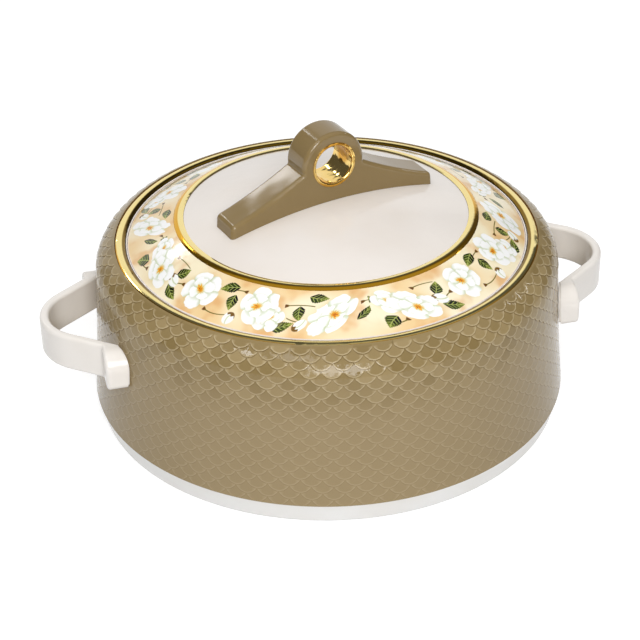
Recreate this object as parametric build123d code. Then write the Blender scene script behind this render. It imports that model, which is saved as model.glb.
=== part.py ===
from build123d import *
from math import acos, asin, atan2, cos, degrees, sin, sqrt
import os

# Insulated casserole with a lift-off lid. Millimetres, +Z up, side handles along X,
# origin on the floor under the middle of the body.

# Body, outside
BASE_RADIUS = 150.0          # outer shell at its bottom edge
SHOULDER_SETBACK = 5.6       # how far the wall has come in where the shoulder begins
WALL_HEIGHT = 81.9           # from the shell's bottom edge to the shoulder
WALL_HOLLOW = 0.7            # how far the side wall bows inwards between its ends
SHOULDER_ROUND = 20.0        # radius of the rounded shoulder
MOUTH_SETBACK = 13.2         # edge of the mouth, inwards from where the shoulder begins
SHELL_WALL = 2.2

# Base tray
BAND_HEIGHT = 13.6           # white band that shows under the shell
BAND_STEP = 0.8              # how far the band lies inside the shell's bottom edge
BAND_LEAN = 2.8              # how far the band comes in on its way to the floor
BAND_FOOT_WIDTH = 6.0        # flat rim that the casserole rests on
BAND_EDGE_ROUND = 2.0
TRAY_RECESS = 4.5            # how far the tray's floor stands above the table
TRAY_FLOOR = 2.5
SPIGOT_HEIGHT = 6.5          # how far the tray reaches up inside the shell
SPIGOT_WALL = 2.0

# Base screws and their posts
BASE_SCREW_COUNT = 4
BASE_SCREW_INSET = 17.0      # from the shell's bottom edge inwards to each screw
BASE_SCREW_TURN = 45.0       # turns the first screw away from the handles
POST_RADIUS = 5.0
POST_SPARE = 9.6             # height of the shell's posts beyond the screws' tips
POST_CAP = 2.2               # closed end of the shell's posts
POST_RIB = 2.6
BASE_SCREW_RADIUS = 1.75
BASE_SCREW_GRIP = 14.4       # depth of thread in the shell's posts
BASE_SCREW_HEAD_RADIUS = 3.6
BASE_SCREW_HEAD = 2.4

# Steel bowl
BOWL_RIM_WIDTH = 6.1         # turned-out rim
BOWL_TAPER = 8.5             # how much less the bowl's radius is at its floor
BOWL_LIFT = 17.0             # bowl's inside floor above the tray's floor
BOWL_CORNER = 20.0
BOWL_STEEL = 0.7

# Mouth collar and gold ring
COLLAR_WALL = 2.6
COLLAR_SKIRT = 3.0           # depth of the collar below the bowl's rim
COLLAR_LIP = 3.0             # how far the collar reaches under the shell's lip
COLLAR_LIP_DROP = 0.4        # end of the collar's lip, below the shell
COLLAR_FLANGE = 2.4
GOLD_RING_WIDTH = 6.4
GOLD_RING_HEIGHT = 2.5       # crest of its rounded top
GOLD_RING_EDGE = 1.5         # upright edge on both sides
MOUTH_SEAT_DEPTH = 6.2       # from the gold ring's underside to the bowl's rim

# Side handles
HANDLE_BOTTOM = 55.2
HANDLE_HEIGHT = 23.6
HANDLE_OUT = 35.5            # outermost point, from the wall
HANDLE_NOSE_ROUND = 33.5     # outer radius of the loop's nose
HANDLE_SPREAD = 41.0         # where the strap meets the wall, from the handle's middle line
HANDLE_STRAP = 5.7
HANDLE_FOOT_OUT = 3.2        # outer face of the feet, from the wall at the middle line
HANDLE_FOOT_LENGTH = 15.7    # from where the strap meets the wall to the foot's end
HANDLE_FOOT_TOP_ROUND = 12.0  # upper corner of each foot's end
HANDLE_FOOT_LOW_ROUND = 3.4  # lower corner of each foot's end
HANDLE_CREASE_ROUND = 2.5
HANDLE_EDGE_ROUND = 2.2
HANDLE_GROOVE_WIDTH = 1.3    # shadow groove round the foot, where it meets the wall
HANDLE_GROOVE_DEPTH = 1.2
HANDLE_SCREW_INSET = 10.5    # each screw, inwards from the foot's end
HANDLE_SCREW_RADIUS = 2.0
HANDLE_SCREW_GRIP = 6.0      # depth of thread in the foot
HANDLE_SCREW_HEAD_RADIUS = 4.0
HANDLE_SCREW_HEAD = 2.4
HANDLE_WASHER_RADIUS = 5.5
WASHER_THICKNESS = 1.0
SCREW_HEAD_ROUND = 0.8       # rounded edge of every screw's head

# Lid, outside
LID_BEAD = 0.7               # narrow bead round the print
LID_BEAD_RISE = 7.1          # bead above the lid's lowest edge
PRINT_GROOVE = 0.35          # between the bead and the print
PRINT_SUNK = 0.3             # outer edge of the print, below the bead
PRINT_RISE = 14.7            # inner edge of the print, above its outer edge
PRINT_BULGE = 0.7            # how far the printed slope bows outwards
PRINT_THICKNESS = 1.2
LID_SHELL_WALL = 2.0
LID_RIM_WALL = 6.0
INNER_RING_OUTER = 94.0
INNER_RING_WIDTH = 6.1
INNER_RING_DEPTH = 1.8       # step that the inner gold ring sits on, below the print
INNER_RING_PROUD = 1.4       # crest of the inner gold ring, above the print
INNER_RING_LAP = 0.3         # inner edge of that ring, above the disc
DISC_THICKNESS = 2.9
DISC_SINK = 0.3              # how far the underside of the disc's rim is cut off level
DOME_ROUND = 303.0           # radius of the dome in the middle of the lid

# Lid, inside
LINER_STEEL = 0.7
LINER_GAP = 3.5              # round the plug in the bowl's mouth
LINER_DEPTH = 11.0
LINER_CORNER = 6.0

# Lid handle
BAR_TURN = 15.7              # the lid lies turned by this angle, seen from above
BAR_HALF_LENGTH = 71.0
BAR_WIDTH = 22.0
BAR_END_HEIGHT = 8.0
BAR_TOP_AT_RING = 21.5       # height of the bar's top above the dome at the ring
BAR_TOP_HOLLOW = 1.4         # how far the bar's top bows down
BAR_END_SLANT = 1.2
BAR_CORNER_ROUND = 3.6       # upper corner of each end, seen from the front
BAR_CREASE_ROUND = 1.5       # where the bar meets the ring
BAR_EDGE_ROUND = 2.6
EYE_HOLE = 13.9              # hole of the ring that stands on the bar
EYE_WALL = 6.9               # ring round that hole
EYE_FOOT = 3.1               # lowest point of the ring, above the dome
BUSH_WALL = 1.5
BUSH_LIP = 0.6               # lip of the bush beyond the hole's edge
BUSH_PROUD = 0.5
BUSH_ROUND = 1.2             # rounded ends of the bush's bore
LID_SCREW_SPACING = 40.0     # each screw's distance from the middle
LID_SCREW_RADIUS = 2.0
LID_SCREW_GRIP = 8.0
LID_SCREW_HEAD_RADIUS = 3.8
LID_SCREW_HEAD = 2.4
LID_WASHER_RADIUS = 5.0

# Clearances
SEAT_GAP = 0.1               # between pieces that are fixed together
FOAM_GAP = 0.3               # round the foam
BOWL_RIM_GAP = 2.0           # round the bowl's rim
BOWL_WALL_GAP = 0.6          # between the bowl's wall and the collar's bore
LID_GAP = 0.3                # under the resting lid
LID_RIM_GAP = 0.55           # between the lid's rim and the gold ring
SCREW_GAP = 0.05             # round a screw's shank
PICK = 0.05                  # how near an edge lies to the place it is picked by

# Shoulder arc's centre, set off square from the wall
SHOULDER_RADIUS = BASE_RADIUS - SHOULDER_SETBACK
SHOULDER_START = BAND_HEIGHT + WALL_HEIGHT
WALL_LENGTH = sqrt(SHOULDER_SETBACK ** 2 + WALL_HEIGHT ** 2)
WALL_OUT_R = WALL_HEIGHT / WALL_LENGTH
WALL_OUT_Z = SHOULDER_SETBACK / WALL_LENGTH
SHOULDER_R = SHOULDER_RADIUS - SHOULDER_ROUND * WALL_OUT_R
SHOULDER_Z = SHOULDER_START - SHOULDER_ROUND * WALL_OUT_Z


def shoulder_height(radius, inset):
    """Height of the shoulder, or of its inner face, over a given radius."""
    return SHOULDER_Z + sqrt((SHOULDER_ROUND - inset) ** 2 - (radius - SHOULDER_R) ** 2)


def wall_radius(height, inset):
    """Radius of the side wall, or of its inner face, at a given height."""
    share = (height - BAND_HEIGHT) / WALL_HEIGHT
    bow = 4 * WALL_HOLLOW * share * (1 - share)
    return BASE_RADIUS - SHOULDER_SETBACK * share - bow - inset / WALL_OUT_R


# Base, from the floor up
BAND_TOP_RADIUS = BASE_RADIUS - BAND_STEP
BAND_FOOT_RADIUS = BAND_TOP_RADIUS - BAND_LEAN
BASE_SCREW_CIRCLE = BASE_RADIUS - BASE_SCREW_INSET
TRAY_FLOOR_TOP = TRAY_RECESS + TRAY_FLOOR
TRAY_POST_TOP = BAND_HEIGHT + SPIGOT_HEIGHT
SPIGOT_OUTER = wall_radius(TRAY_POST_TOP, SHELL_WALL) - SEAT_GAP
SPIGOT_INNER = SPIGOT_OUTER - SPIGOT_WALL
BASE_SCREW_TIP = TRAY_POST_TOP + BASE_SCREW_GRIP
POST_TOP = BASE_SCREW_TIP + POST_SPARE

# Mouth, from the shell's lip inwards and down
MOUTH_RADIUS = SHOULDER_RADIUS - MOUTH_SETBACK
GOLD_RING_UNDER = shoulder_height(MOUTH_RADIUS, SHELL_WALL)
GOLD_RING_OUTER = MOUTH_RADIUS - SEAT_GAP
GOLD_RING_INNER = GOLD_RING_OUTER - GOLD_RING_WIDTH
COLLAR_INNER = GOLD_RING_INNER - SEAT_GAP
BOWL_RIM_TOP = GOLD_RING_UNDER - MOUTH_SEAT_DEPTH
BOWL_RIM_RADIUS = COLLAR_INNER - BOWL_RIM_GAP
BOWL_MOUTH_RADIUS = BOWL_RIM_RADIUS - BOWL_RIM_WIDTH
BOWL_FLOOR_RADIUS = BOWL_MOUTH_RADIUS - BOWL_TAPER
BOWL_FLOOR = TRAY_FLOOR_TOP + BOWL_LIFT
COLLAR_SEAT = BOWL_RIM_TOP - BOWL_STEEL - SEAT_GAP
COLLAR_FOOT = COLLAR_SEAT - COLLAR_SKIRT

# Handles, from the wall outwards
HANDLE_MIDDLE = HANDLE_BOTTOM + HANDLE_HEIGHT / 2
HANDLE_WALL = wall_radius(HANDLE_MIDDLE, 0)
HANDLE_REACH = HANDLE_WALL + HANDLE_OUT
HANDLE_FOOT_FACE = HANDLE_WALL + HANDLE_FOOT_OUT
HANDLE_FOOT_SPAN = HANDLE_SPREAD + HANDLE_FOOT_LENGTH
HANDLE_ROOT = sqrt(SHOULDER_RADIUS ** 2 - HANDLE_FOOT_SPAN ** 2) - HANDLE_STRAP
INNER_WALL_RADIUS = wall_radius(HANDLE_MIDDLE, SHELL_WALL)
WASHER_SAG = INNER_WALL_RADIUS - sqrt(INNER_WALL_RADIUS ** 2 - HANDLE_WASHER_RADIUS ** 2)
WASHER_SEAT = -SHELL_WALL - WASHER_SAG - SEAT_GAP

# Lid, from its lowest edge up
LID_RIM = GOLD_RING_INNER - LID_RIM_GAP
LID_UNDER = BOWL_RIM_TOP + LID_GAP
LID_BEAD_TOP = LID_UNDER + LID_BEAD_RISE
PRINT_OUTER = LID_RIM - LID_BEAD - PRINT_GROOVE
PRINT_INNER = INNER_RING_OUTER + SEAT_GAP
PRINT_EDGE_TOP = LID_BEAD_TOP - PRINT_SUNK
PRINT_TOP = PRINT_EDGE_TOP + PRINT_RISE
INNER_RING_INNER = INNER_RING_OUTER - INNER_RING_WIDTH
INNER_RING_SEAT = PRINT_TOP - INNER_RING_DEPTH
INNER_RING_CREST = PRINT_TOP + INNER_RING_PROUD
DISC_RADIUS = INNER_RING_INNER - SEAT_GAP
DISC_EDGE_TOP = INNER_RING_SEAT + DISC_THICKNESS - DISC_SINK
DOME_Z = DISC_EDGE_TOP - sqrt(DOME_ROUND ** 2 - DISC_RADIUS ** 2)
DOME_TOP = DOME_Z + DOME_ROUND
LINER_RIM = LID_RIM - LID_RIM_WALL / 2
LINER_RADIUS = BOWL_MOUTH_RADIUS - LINER_GAP
EYE_RADIUS = EYE_HOLE + EYE_WALL
EYE_CENTRE = DOME_TOP + EYE_FOOT + EYE_RADIUS


def dome_height(radius, inset):
    """Height over a given radius of the sphere that lies an inset below the dome."""
    return DOME_Z + sqrt((DOME_ROUND - inset) ** 2 - radius ** 2)


def dome_radius(height, inset):
    """Radius at a given height on the sphere that lies an inset below the dome."""
    return sqrt((DOME_ROUND - inset) ** 2 - (height - DOME_Z) ** 2)


def dome_arc(radius, height, inset):
    """Arc on the sphere below the dome, from a place at its edge to the middle."""
    half = radius / 2
    return ThreePointArc((radius, height), (half, dome_height(half, inset)), (0, dome_height(0, inset)))


def turned(outline):
    """Solid of revolution about Z from edges drawn as (radius, height)."""
    face = Plane.XZ * make_face(outline)
    return revolve(face, Axis.Z)


def shell_edges(inset):
    """Edges of the shell's side and shoulder, at an inset from the outside."""
    middle = (BAND_HEIGHT + SHOULDER_START) / 2
    low = (wall_radius(BAND_HEIGHT, inset), BAND_HEIGHT)
    bend = (SHOULDER_R + (SHOULDER_ROUND - inset) * WALL_OUT_R,
            SHOULDER_Z + (SHOULDER_ROUND - inset) * WALL_OUT_Z)
    top = (MOUTH_RADIUS, shoulder_height(MOUTH_RADIUS, inset))
    half_turn = (atan2(WALL_OUT_Z, WALL_OUT_R) + atan2(top[1] - SHOULDER_Z, top[0] - SHOULDER_R)) / 2
    knee = (SHOULDER_R + (SHOULDER_ROUND - inset) * cos(half_turn),
            SHOULDER_Z + (SHOULDER_ROUND - inset) * sin(half_turn))
    wall = ThreePointArc(low, (wall_radius(middle, inset), middle), bend)
    shoulder = ThreePointArc(bend, knee, top)
    return wall, shoulder, low, top


def shell_filled(grow):
    """The body's outside as one solid, grown or, below zero, shrunk by a distance."""
    wall, shoulder, low, top = shell_edges(-grow)
    ceiling = (0, top[1])
    floor = (0, low[1])
    return turned([wall, shoulder, Line(top, ceiling), Line(ceiling, floor), Line(floor, low)])


def rod(radius, start, end):
    """Cylinder along Z between two heights."""
    return Pos(0, 0, start) * Cylinder(radius, end - start, align=(Align.CENTER, Align.CENTER, Align.MIN))


def post_places():
    """Places of the base screws."""
    return PolarLocations(BASE_SCREW_CIRCLE, BASE_SCREW_COUNT, start_angle=BASE_SCREW_TURN)


def make_outer_shell():
    wall, shoulder, low, top = shell_edges(0)
    inner_wall, inner_shoulder, inner_low, inner_top = shell_edges(SHELL_WALL)
    shell = turned([wall, shoulder, Line(top, inner_top), inner_shoulder, inner_wall, Line(inner_low, low)])
    rib_length = wall_radius(POST_TOP, SHELL_WALL) + SHELL_WALL / 2 - BASE_SCREW_CIRCLE
    post_bottom = TRAY_POST_TOP + SEAT_GAP
    post = rod(POST_RADIUS, post_bottom, POST_TOP)
    post += Pos(0, 0, post_bottom) * Box(
        rib_length, POST_RIB, POST_TOP - post_bottom, align=(Align.MIN, Align.CENTER, Align.MIN))
    hole = rod(BASE_SCREW_RADIUS + SCREW_GAP, 0, POST_TOP - POST_CAP)
    for place in post_places():
        shell += place * post
        shell -= place * hole
    for place in handle_screw_places():
        shell -= place * rod(HANDLE_SCREW_RADIUS + SCREW_GAP, -2 * SHELL_WALL, 2 * SHELL_WALL)
    return shell


def make_base_tray():
    foot_inner = BAND_FOOT_RADIUS - BAND_FOOT_WIDTH
    band_top = BAND_HEIGHT - SEAT_GAP
    points = [
        (0, TRAY_RECESS), (foot_inner, TRAY_RECESS), (foot_inner, 0), (BAND_FOOT_RADIUS, 0),
        (BAND_TOP_RADIUS, band_top), (SPIGOT_OUTER, band_top), (SPIGOT_OUTER, TRAY_POST_TOP),
        (SPIGOT_INNER, TRAY_POST_TOP), (SPIGOT_INNER, TRAY_FLOOR_TOP), (0, TRAY_FLOOR_TOP),
    ]
    face = make_face(Polyline(*points, close=True))
    foot_corner = face.vertices().sort_by_distance((BAND_FOOT_RADIUS, 0, 0))[0]
    face = fillet(foot_corner, BAND_EDGE_ROUND)
    tray = revolve(Plane.XZ * face, Axis.Z)
    post = rod(POST_RADIUS, TRAY_RECESS, TRAY_POST_TOP)
    hole = rod(BASE_SCREW_RADIUS + SCREW_GAP, 0, 2 * TRAY_POST_TOP)
    for place in post_places():
        tray += place * post
        tray -= place * hole
    return tray


def make_base_screws():
    screw = rod(BASE_SCREW_HEAD_RADIUS, TRAY_RECESS - BASE_SCREW_HEAD, TRAY_RECESS)
    screw += rod(BASE_SCREW_RADIUS, TRAY_RECESS, BASE_SCREW_TIP)
    screw = fillet(screw.edges().sort_by(Axis.Z)[0], SCREW_HEAD_ROUND)
    return Compound(children=[place * screw for place in post_places()])


def bowl_face(grow):
    """Half section of the bowl's inside, or of its outside when it has grown by the steel."""
    lean = atan2(BOWL_MOUTH_RADIUS - BOWL_FLOOR_RADIUS, BOWL_RIM_TOP - BOWL_FLOOR)
    side = grow / cos(lean)
    low_shift = grow * (1 - sin(lean)) / cos(lean)
    points = [
        (0, BOWL_FLOOR - grow), (BOWL_FLOOR_RADIUS + low_shift, BOWL_FLOOR - grow),
        (BOWL_MOUTH_RADIUS + side, BOWL_RIM_TOP), (0, BOWL_RIM_TOP),
    ]
    face = make_face(Polyline(*points, close=True))
    corner = face.vertices().sort_by_distance(points[1])[0]
    return fillet(corner, BOWL_CORNER + grow)


def bowl_body(grow):
    """The bowl's inside as a solid, grown all round by a distance."""
    return revolve(Plane.XZ * bowl_face(grow), Axis.Z)


def make_inner_bowl():
    rim = rod(BOWL_RIM_RADIUS, BOWL_RIM_TOP - BOWL_STEEL, BOWL_RIM_TOP)
    return bowl_body(BOWL_STEEL) + rim - bowl_body(0)


def collar_lip():
    """Outer end of the collar's flange, where it runs under the shell's lip."""
    radius = MOUTH_RADIUS + COLLAR_LIP
    return radius, shoulder_height(radius, SHELL_WALL) - COLLAR_LIP_DROP


def make_mouth_collar():
    top = GOLD_RING_UNDER - SEAT_GAP
    lip_radius, lip_top = collar_lip()
    lip_under = lip_top - COLLAR_FLANGE
    outer = COLLAR_INNER + COLLAR_WALL
    bore = BOWL_MOUTH_RADIUS + BOWL_STEEL + BOWL_WALL_GAP
    points = [
        (COLLAR_INNER, top), (MOUTH_RADIUS - SEAT_GAP, top), (lip_radius, lip_top), (lip_radius, lip_under),
        (outer, lip_under), (outer, COLLAR_FOOT), (bore, COLLAR_FOOT), (bore, COLLAR_SEAT),
        (COLLAR_INNER, COLLAR_SEAT),
    ]
    return turned(Polyline(*points, close=True))


def make_mouth_ring():
    edge_top = GOLD_RING_UNDER + GOLD_RING_EDGE
    inner_top = (GOLD_RING_INNER, edge_top)
    outer_top = (GOLD_RING_OUTER, edge_top)
    crest = (GOLD_RING_OUTER - GOLD_RING_WIDTH / 2, GOLD_RING_UNDER + GOLD_RING_HEIGHT)
    corners = [(GOLD_RING_INNER, GOLD_RING_UNDER), (GOLD_RING_OUTER, GOLD_RING_UNDER)]
    return turned([Polyline(inner_top, *corners, outer_top), ThreePointArc(outer_top, crest, inner_top)])


def make_body_insulation():
    above_spigot = TRAY_POST_TOP + FOAM_GAP
    foam = shell_filled(-SHELL_WALL - FOAM_GAP) & rod(BASE_RADIUS, above_spigot, COLLAR_FOOT - FOAM_GAP)
    foam += rod(SPIGOT_INNER - FOAM_GAP, TRAY_FLOOR_TOP + FOAM_GAP, above_spigot)
    foam -= bowl_body(BOWL_STEEL + FOAM_GAP)
    post_top = POST_TOP + FOAM_GAP
    post = rod(POST_RADIUS + FOAM_GAP, 0, post_top)
    post += Box(BASE_RADIUS, POST_RIB + 2 * FOAM_GAP, post_top, align=(Align.MIN, Align.CENTER, Align.MIN))
    for place in post_places():
        foam -= place * post
    pocket = WASHER_THICKNESS + HANDLE_SCREW_HEAD + FOAM_GAP
    for place in handle_screw_places():
        foam -= place * rod(HANDLE_WASHER_RADIUS + FOAM_GAP, WASHER_SEAT - pocket, 0)
    return foam


def strap_turn():
    """Angle from the handle's middle line to the leg's outward normal, so that the leg's inner face
    is tangent to the nose and meets the wall at the spread."""
    nose = HANDLE_REACH - HANDLE_NOSE_ROUND
    back = nose - sqrt(HANDLE_WALL ** 2 - HANDLE_SPREAD ** 2)
    distance = sqrt(back ** 2 + HANDLE_SPREAD ** 2)
    return acos(-(HANDLE_NOSE_ROUND - HANDLE_STRAP) / distance) - atan2(HANDLE_SPREAD, back)


def handle_outline():
    """Plan of one handle on the +X side, with its feet running into the body."""
    turn = strap_turn()
    nose = HANDLE_REACH - HANDLE_NOSE_ROUND
    inner_round = HANDLE_NOSE_ROUND - HANDLE_STRAP

    def tangent(radius, side):
        return nose + radius * cos(turn), side * radius * sin(turn)

    def along(radius, reach, side):
        rise = (radius - (reach - nose) * cos(turn)) / sin(turn)
        return reach, side * rise

    outer = ThreePointArc(tangent(HANDLE_NOSE_ROUND, -1), (HANDLE_REACH, 0), tangent(HANDLE_NOSE_ROUND, 1))
    inner = ThreePointArc(tangent(inner_round, -1), (nose + inner_round, 0), tangent(inner_round, 1))
    loop = [outer, inner]
    for side in (1, -1):
        loop.append(Polyline(
            tangent(HANDLE_NOSE_ROUND, side), along(HANDLE_NOSE_ROUND, HANDLE_FOOT_FACE, side),
            (HANDLE_FOOT_FACE, side * HANDLE_FOOT_SPAN), (HANDLE_ROOT, side * HANDLE_FOOT_SPAN),
            along(inner_round, HANDLE_ROOT, side), tangent(inner_round, side)))
    face = make_face(loop)
    for side in (1, -1):
        crease = along(HANDLE_NOSE_ROUND, HANDLE_FOOT_FACE, side)
        face = fillet(face.vertices().sort_by_distance((*crease, 0))[0], HANDLE_CREASE_ROUND)
    return face


def handle_screw_places():
    """Frames on the shell's outside with Z along each handle screw, towards its tip."""
    swing = degrees(asin((HANDLE_FOOT_SPAN - HANDLE_SCREW_INSET) / HANDLE_WALL))
    lean = degrees(atan2(WALL_OUT_Z, WALL_OUT_R))
    places = []
    for side in (0, 180):
        for turn in (side - swing, side + swing):
            places.append(Rot(0, 0, turn) * Pos(HANDLE_WALL, 0, HANDLE_MIDDLE) * Rot(0, 90 - lean, 0))
    return places


def feet_block(inset):
    """Block that gives the feet their ends, rounded as seen from the side, at an inset from them."""
    face = Pos(0, HANDLE_MIDDLE) * Rectangle(2 * (HANDLE_FOOT_SPAN - inset), HANDLE_HEIGHT - 2 * inset)
    corners = face.vertices().sort_by(Axis.Y)
    face = fillet(corners[-2:], HANDLE_FOOT_TOP_ROUND - inset)
    face = fillet(face.vertices().sort_by(Axis.Y)[:2], HANDLE_FOOT_LOW_ROUND - inset)
    return extrude(Plane.YZ * face, 2 * HANDLE_REACH)


def make_handle(turn):
    plan = Pos(0, 0, HANDLE_BOTTOM) * extrude(handle_outline(), HANDLE_HEIGHT)
    handle = plan & feet_block(0)
    rims = [face for face in handle.faces() if abs(face.normal_at().X) < PICK]
    edges = [edge for face in rims for edge in face.edges() if edge.center().X > HANDLE_ROOT + PICK]
    edges = [edge for edge in edges if abs((edge % 0.5).X) < 1 - PICK]
    handle = fillet(edges, HANDLE_EDGE_ROUND)
    core = plan & feet_block(HANDLE_GROOVE_DEPTH) & shell_filled(HANDLE_GROOVE_WIDTH)
    handle = handle - shell_filled(HANDLE_GROOVE_WIDTH) + core - shell_filled(SEAT_GAP)
    for place in handle_screw_places():
        handle -= place * rod(HANDLE_SCREW_RADIUS + SCREW_GAP, 0, HANDLE_SCREW_GRIP + SEAT_GAP)
    return Rot(0, 0, turn) * handle


def make_handle_screws():
    seat = WASHER_SEAT - WASHER_THICKNESS
    screw = rod(HANDLE_SCREW_RADIUS, seat, HANDLE_SCREW_GRIP)
    screw += rod(HANDLE_SCREW_HEAD_RADIUS, seat - HANDLE_SCREW_HEAD, seat)
    screw = fillet(screw.edges().sort_by(Axis.Z)[0], SCREW_HEAD_ROUND)
    return Compound(children=[place * screw for place in handle_screw_places()])


def make_handle_washers():
    washer = rod(HANDLE_WASHER_RADIUS, WASHER_SEAT - WASHER_THICKNESS, WASHER_SEAT)
    washer -= rod(HANDLE_SCREW_RADIUS + SCREW_GAP, WASHER_SEAT - 2 * WASHER_THICKNESS, 0)
    return Compound(children=[place * washer for place in handle_screw_places()])


def print_line(inset):
    """Ends and middle of the printed slope's section, at an inset below its face."""
    run = PRINT_OUTER - PRINT_INNER
    rise = PRINT_TOP - PRINT_EDGE_TOP
    length = sqrt(run ** 2 + rise ** 2)
    out_r = rise / length
    out_z = run / length
    slope = rise / run
    drop = inset / out_z
    low = (PRINT_OUTER, PRINT_EDGE_TOP - drop)
    high = (PRINT_INNER, PRINT_TOP - drop)
    middle = ((low[0] + high[0]) / 2 + PRINT_BULGE * out_r, (low[1] + high[1]) / 2 + PRINT_BULGE * out_z)
    return low, middle, high, slope


def make_print_ring():
    low, middle, high, _ = print_line(0)
    under_low, under_middle, under_high, _ = print_line(PRINT_THICKNESS)
    return turned([
        ThreePointArc(low, middle, high), Line(high, under_high),
        ThreePointArc(under_high, under_middle, under_low), Line(under_low, low),
    ])


def lid_underside():
    """Outline of the lid shell's inner face, from its rim to the middle."""
    wall_drop = PRINT_THICKNESS + SEAT_GAP + LID_SHELL_WALL
    low, _, high, slope = print_line(wall_drop)
    rim_inner = LID_RIM - LID_RIM_WALL
    rim_top = low[1] + (low[0] - rim_inner) * slope
    seat_under = INNER_RING_SEAT - SEAT_GAP - LID_SHELL_WALL
    knee = high[0] + (high[1] - seat_under) / slope
    inset = DISC_THICKNESS + SEAT_GAP + LID_SHELL_WALL
    return rim_inner, rim_top, seat_under, knee, inset


def make_lid_shell():
    low, middle, high, _ = print_line(PRINT_THICKNESS + SEAT_GAP)
    bead_inner = LID_RIM - LID_BEAD
    seat = INNER_RING_SEAT - SEAT_GAP
    dome_inset = DISC_THICKNESS + SEAT_GAP
    dome_edge = dome_radius(seat, dome_inset)
    rim_inner, rim_top, seat_under, knee, under_inset = lid_underside()
    under_edge = dome_radius(seat_under, under_inset)
    under_top = dome_height(0, under_inset)
    liner_seat = LID_UNDER + LINER_STEEL + SEAT_GAP
    bead = ThreePointArc((LID_RIM, LID_BEAD_TOP), (LID_RIM - LID_BEAD / 2, LID_BEAD_TOP + LID_BEAD / 3),
                         (bead_inner, LID_BEAD_TOP))
    slope = ThreePointArc(low, middle, high)
    dome = dome_arc(dome_edge, seat, dome_inset)
    under_dome = dome_arc(under_edge, seat_under, under_inset)
    outer_rim = Polyline((LINER_RIM, liner_seat), (LINER_RIM, LID_UNDER), (LID_RIM, LID_UNDER), bead @ 0)
    step = Polyline(high, (high[0], seat), (dome_edge, seat))
    under = Polyline((under_edge, seat_under), (knee, seat_under), (rim_inner, rim_top),
                     (rim_inner, liner_seat), (LINER_RIM, liner_seat))
    shell = turned([
        outer_rim, bead, Polyline(bead @ 1, (bead_inner, low[1]), low), slope, step, dome,
        Line(dome @ 1, under_dome @ 1), under_dome, under,
    ])
    for place in lid_screw_places():
        shell -= place * rod(LID_SCREW_RADIUS + SCREW_GAP, 0, 2 * DOME_TOP)
    return shell


def make_inner_ring():
    crest = (INNER_RING_OUTER - INNER_RING_WIDTH / 2, INNER_RING_CREST)
    outer_top = (INNER_RING_OUTER, PRINT_TOP)
    inner_top = (INNER_RING_INNER, DISC_EDGE_TOP + INNER_RING_LAP)
    corners = [(INNER_RING_INNER, INNER_RING_SEAT), (INNER_RING_OUTER, INNER_RING_SEAT)]
    return turned([Polyline(inner_top, *corners, outer_top), ThreePointArc(outer_top, crest, inner_top)])


def make_centre_disc():
    under_edge = dome_radius(INNER_RING_SEAT, DISC_THICKNESS)
    top = dome_arc(DISC_RADIUS, DISC_EDGE_TOP, 0)
    under = dome_arc(under_edge, INNER_RING_SEAT, DISC_THICKNESS)
    edge = Polyline(top @ 0, (DISC_RADIUS, INNER_RING_SEAT), under @ 0)
    disc = turned([top, edge, under, Line(under @ 1, top @ 1)])
    for place in lid_screw_places():
        disc -= place * rod(LID_SCREW_RADIUS + SCREW_GAP, 0, 2 * DOME_TOP)
    return disc


def liner_face(grow):
    """Half section of the liner's pan, or of its outside when it has grown by the steel."""
    floor = LID_UNDER - LINER_DEPTH
    side = LINER_RADIUS + grow
    top = LID_UNDER + LINER_STEEL
    face = make_face(Polyline((0, floor - grow), (side, floor - grow), (side, top), (0, top), close=True))
    corner = face.vertices().sort_by_distance((side, floor - grow, 0))[0]
    return fillet(corner, LINER_CORNER + grow)


def make_lid_liner():
    rim = rod(LINER_RIM - SEAT_GAP, LID_UNDER, LID_UNDER + LINER_STEEL)
    inside = revolve(Plane.XZ * liner_face(0), Axis.Z)
    return revolve(Plane.XZ * liner_face(LINER_STEEL), Axis.Z) + rim - inside


def make_lid_insulation():
    rim_inner, rim_top, seat_under, knee, under_inset = lid_underside()
    floor = LID_UNDER - LINER_DEPTH + FOAM_GAP
    inset = under_inset + FOAM_GAP
    ceiling = seat_under - FOAM_GAP
    edge = dome_radius(ceiling, inset)
    side = LINER_RADIUS - FOAM_GAP
    slope_side = (rim_top - seat_under) / (rim_inner - knee)
    side_top = seat_under + (side + FOAM_GAP - knee) * slope_side - FOAM_GAP
    dome = dome_arc(edge, ceiling, inset)
    knee_side = (knee - FOAM_GAP, ceiling)
    sides = Polyline(dome @ 1, (0, floor), (side, floor), (side, side_top), knee_side, dome @ 0)
    face = make_face([dome, sides])
    corner = face.vertices().sort_by_distance((side, floor, 0))[0]
    foam = revolve(Plane.XZ * fillet(corner, LINER_CORNER), Axis.Z)
    seat = lid_screw_seat()
    pocket = WASHER_THICKNESS + LID_SCREW_HEAD + SEAT_GAP + FOAM_GAP
    for place in lid_screw_places():
        foam -= place * rod(LID_WASHER_RADIUS + FOAM_GAP, seat - pocket, DOME_TOP)
    return foam


def lid_screw_places():
    """Upright axes of the two screws that hold the lid's handle."""
    return [Rot(0, 0, BAR_TURN) * Pos(side * LID_SCREW_SPACING, 0, 0) for side in (-1, 1)]


def lid_screw_seat():
    """Height of the lid shell's inner face at the far side of a washer."""
    return dome_height(LID_SCREW_SPACING + LID_WASHER_RADIUS, DISC_THICKNESS + SEAT_GAP + LID_SHELL_WALL)


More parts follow.
